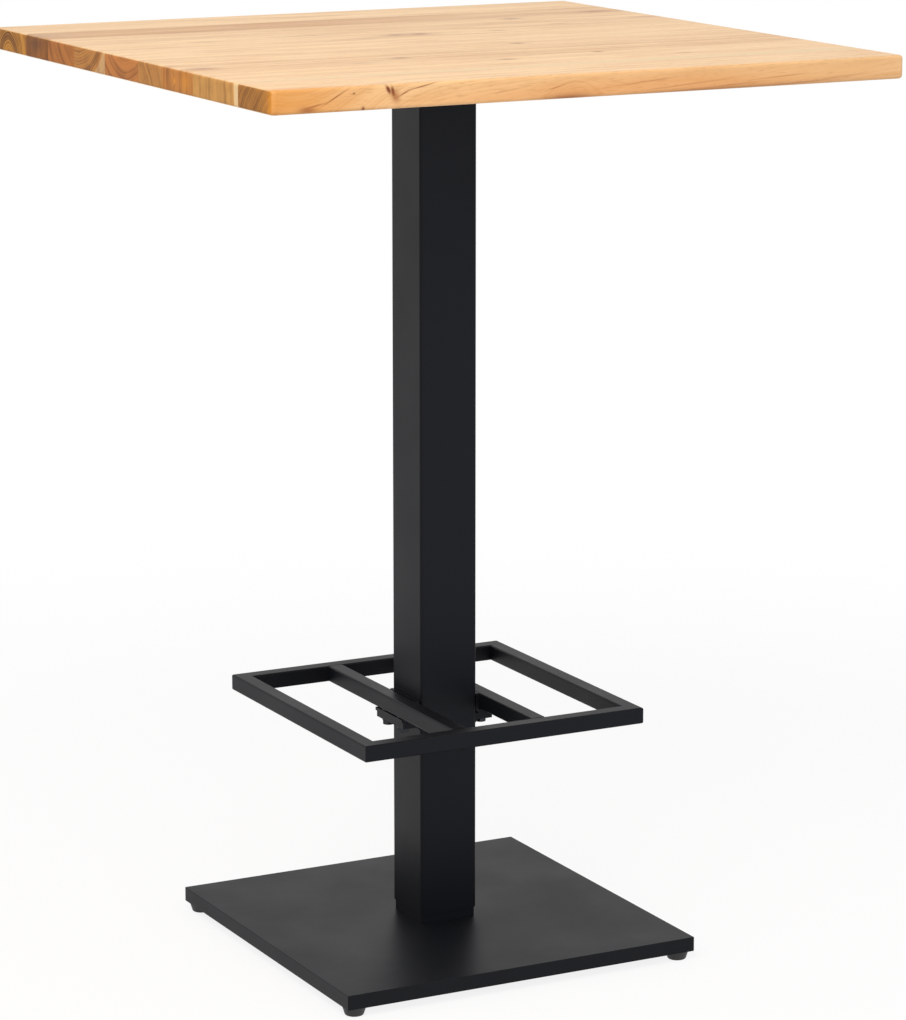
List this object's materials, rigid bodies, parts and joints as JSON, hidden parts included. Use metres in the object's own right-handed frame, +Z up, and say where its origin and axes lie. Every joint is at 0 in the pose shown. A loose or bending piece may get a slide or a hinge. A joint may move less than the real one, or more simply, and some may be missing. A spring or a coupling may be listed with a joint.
{
  "type": "pub table",
  "caption": "Bar-height square table: edge-glued solid wood top on a square steel column, flat base plate on levelling glides and a rectangular foot rest.",
  "frame": {"origin": "on the floor under the middle of the column, with the glides screwed right in", "axes": "+X along the boards to the right, +Y to the back, +Z up"},
  "size_m": [0.8, 0.8, 1.11],
  "materials": {
    "solid_wood": "oiled, satin, fine planed and sanded",
    "powder_coated_steel": "black powder coat, fine texture, satin",
    "plain_steel": "plain, as sawn",
    "zinc_plated_steel": "bright zinc plated",
    "black_zinc_steel": "black zinc plated, satin",
    "glide_plastic": "black moulded nylon, matte"
  },
  "bodies": {
    "root": {"top_board_1": "solid_wood", "top_board_2": "solid_wood", "top_board_3": "solid_wood", "top_board_4": "solid_wood", "top_board_5": "solid_wood", "top_board_6": "solid_wood", "top_board_7": "solid_wood", "top_board_8": "solid_wood", "top_board_9": "solid_wood", "mount_plate": "powder_coated_steel", "column_tube": "powder_coated_steel", "foot_flange": "powder_coated_steel", "base_plate": "powder_coated_steel", "front_rail": "powder_coated_steel", "back_rail": "powder_coated_steel", "left_rail": "powder_coated_steel", "right_rail": "powder_coated_steel", "left_crossbar": "powder_coated_steel", "right_crossbar": "powder_coated_steel", "left_shelf": "powder_coated_steel", "right_shelf": "powder_coated_steel", "left_bracket": "powder_coated_steel", "right_bracket": "powder_coated_steel", "head_block": "plain_steel", "wood_screws": "zinc_plated_steel", "wood_washers": "zinc_plated_steel", "head_screws": "zinc_plated_steel", "base_screws": "zinc_plated_steel", "crossbar_rivet_nuts": "zinc_plated_steel", "column_rivet_nuts": "zinc_plated_steel", "crossbar_bolts": "black_zinc_steel", "crossbar_washers": "black_zinc_steel", "column_bolts": "black_zinc_steel", "column_washers": "black_zinc_steel"},
    "front_left_stem": {"front_left_glide_stem": "zinc_plated_steel"},
    "front_left_foot": {"front_left_glide_foot": "glide_plastic"},
    "front_right_stem": {"front_right_glide_stem": "zinc_plated_steel"},
    "front_right_foot": {"front_right_glide_foot": "glide_plastic"},
    "back_left_stem": {"back_left_glide_stem": "zinc_plated_steel"},
    "back_left_foot": {"back_left_glide_foot": "glide_plastic"},
    "back_right_stem": {"back_right_glide_stem": "zinc_plated_steel"},
    "back_right_foot": {"back_right_glide_foot": "glide_plastic"}
  },
  "joints": [
    {"name": "front_left_lift", "type": "slide", "parent": "root", "child": "front_left_stem", "axis": [0, 0, -1], "range_m": [0, 0.006]},
    {"name": "front_left_turn", "type": "hinge", "parent": "front_left_stem", "child": "front_left_foot", "pos_m": [-0.2195, -0.2195, 0], "axis": [0, 0, -1], "range_deg": [0, 1728]},
    {"name": "front_right_lift", "type": "slide", "parent": "root", "child": "front_right_stem", "axis": [0, 0, -1], "range_m": [0, 0.006]},
    {"name": "front_right_turn", "type": "hinge", "parent": "front_right_stem", "child": "front_right_foot", "pos_m": [0.2195, -0.2195, 0], "axis": [0, 0, -1], "range_deg": [0, 1728]},
    {"name": "back_left_lift", "type": "slide", "parent": "root", "child": "back_left_stem", "axis": [0, 0, -1], "range_m": [0, 0.006]},
    {"name": "back_left_turn", "type": "hinge", "parent": "back_left_stem", "child": "back_left_foot", "pos_m": [-0.2195, 0.2195, 0], "axis": [0, 0, -1], "range_deg": [0, 1728]},
    {"name": "back_right_lift", "type": "slide", "parent": "root", "child": "back_right_stem", "axis": [0, 0, -1], "range_m": [0, 0.006]},
    {"name": "back_right_turn", "type": "hinge", "parent": "back_right_stem", "child": "back_right_foot", "pos_m": [0.2195, 0.2195, 0], "axis": [0, 0, -1], "range_deg": [0, 1728]}
  ],
  "couplings": [
    {"joint": "front_left_turn", "follows": "front_left_lift", "rad_per_m": 5026.5},
    {"joint": "front_right_turn", "follows": "front_right_lift", "rad_per_m": 5026.5},
    {"joint": "back_left_turn", "follows": "back_left_lift", "rad_per_m": 5026.5},
    {"joint": "back_right_turn", "follows": "back_right_lift", "rad_per_m": 5026.5}
  ]
}
